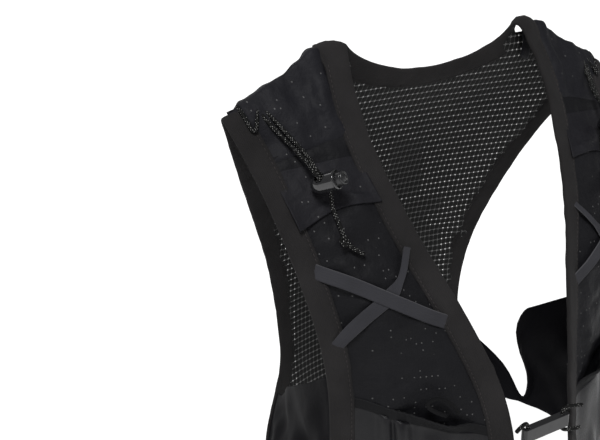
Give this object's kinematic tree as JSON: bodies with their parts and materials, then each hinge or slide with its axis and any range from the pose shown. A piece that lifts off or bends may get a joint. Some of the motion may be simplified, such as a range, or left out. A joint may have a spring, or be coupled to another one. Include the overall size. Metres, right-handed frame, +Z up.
{
  "type": "hydration vest",
  "caption": "Running hydration vest: mesh back, bound straps with cloth pockets, elastic bands, cord locks, rear reservoir sleeve.",
  "frame": {"origin": "midway between the shoulders, at the height of the straps' neck-side tops, where the vest rests on the wearer", "axes": "+X to the wearer's left, -Y to the wearer's front, +Z up"},
  "size_m": [0.312, 0.2453, 0.344],
  "materials": {
    "mesh_cloth": "open knit mesh",
    "binding_tape": "matt woven tape",
    "webbing": "woven webbing",
    "plain_patch": "smooth matt",
    "strap_cloth": "ripstop weave",
    "flap_cloth": "ripstop weave",
    "pocket_cloth": "ripstop weave",
    "satin_cloth": "soft satin",
    "elastic": "ribbed elastic",
    "flecked_cord": "braided, light flecks",
    "lock_plastic": "gloss",
    "button_plastic": "gloss",
    "spring_steel": "brushed",
    "bladder_film": "satin film",
    "clear_plastic": "satin",
    "bar_plastic": "satin",
    "hook_plastic": "satin"
  },
  "bodies": {
    "vest": {"arm_tape_left": "binding_tape", "arm_tape_right": "binding_tape", "back_hem": "binding_tape", "back_mesh_panel": "mesh_cloth", "back_patch": "plain_patch", "bar_tack_left": "elastic", "bar_tack_right": "elastic", "closure_loop_left": "flecked_cord", "closure_loop_right": "flecked_cord", "cord_anchor_left": "flecked_cord", "cord_anchor_right": "flecked_cord", "cord_lock_body_left": "lock_plastic", "cord_lock_body_right": "lock_plastic", "cord_lock_spring_left": "spring_steel", "cord_lock_spring_right": "spring_steel", "cord_tail_left": "flecked_cord", "cord_tail_right": "flecked_cord", "flask_pocket_left": "pocket_cloth", "flask_pocket_right": "pocket_cloth", "hang_loop": "webbing", "long_band_left": "elastic", "long_band_right": "elastic", "lower_mouth_hem_left": "elastic", "lower_mouth_hem_right": "elastic", "lower_pocket_left": "satin_cloth", "lower_pocket_right": "satin_cloth", "neck_tape": "binding_tape", "pocket_cord_left": "flecked_cord", "pocket_cord_right": "flecked_cord", "pocket_flap_left": "flap_cloth", "pocket_flap_right": "flap_cloth", "pull_loop_left": "flecked_cord", "pull_loop_right": "flecked_cord", "rear_sleeve": "satin_cloth", "reservoir": "bladder_film", "reservoir_outlet": "clear_plastic", "short_band_left": "elastic", "short_band_right": "elastic", "side_wing_left": "satin_cloth", "side_wing_right": "satin_cloth", "sleeve_mouth_hem": "elastic", "strap_hem_left": "binding_tape", "strap_hem_right": "binding_tape", "strap_panel_left": "strap_cloth", "strap_panel_right": "strap_cloth", "tail_knot_left": "flecked_cord", "tail_knot_right": "flecked_cord", "upper_pocket_left": "strap_cloth", "upper_pocket_right": "strap_cloth"},
    "plunger_right": {"cord_lock_plunger_right": "button_plastic"},
    "plunger_left": {"cord_lock_plunger_left": "button_plastic"},
    "chest_hook": {"closure_hook": "hook_plastic"},
    "slide_bar": {"reservoir_slide_bar": "bar_plastic"}
  },
  "joints": [
    {"name": "cord_lock_press_right", "type": "slide", "parent": "vest", "child": "plunger_right", "axis": [-0.5409, 0.7633, -0.3534], "range_m": [0, 0.0024], "stiffness_N_per_m": 400, "springref_m": -0.003},
    {"name": "cord_lock_press_left", "type": "slide", "parent": "vest", "child": "plunger_left", "axis": [0.5409, 0.7633, -0.3534], "range_m": [0, 0.0024], "stiffness_N_per_m": 400, "springref_m": -0.003},
    {"name": "chest_hook_swing", "type": "hinge", "parent": "vest", "child": "chest_hook", "pos_m": [0.015, -0.12011, -0.236], "axis": [0, 0, 1], "range_deg": [0, 80]},
    {"name": "slide_bar_off", "type": "slide", "parent": "vest", "child": "slide_bar", "axis": [1, 0, 0], "range_m": [0, 0.15]}
  ]
}
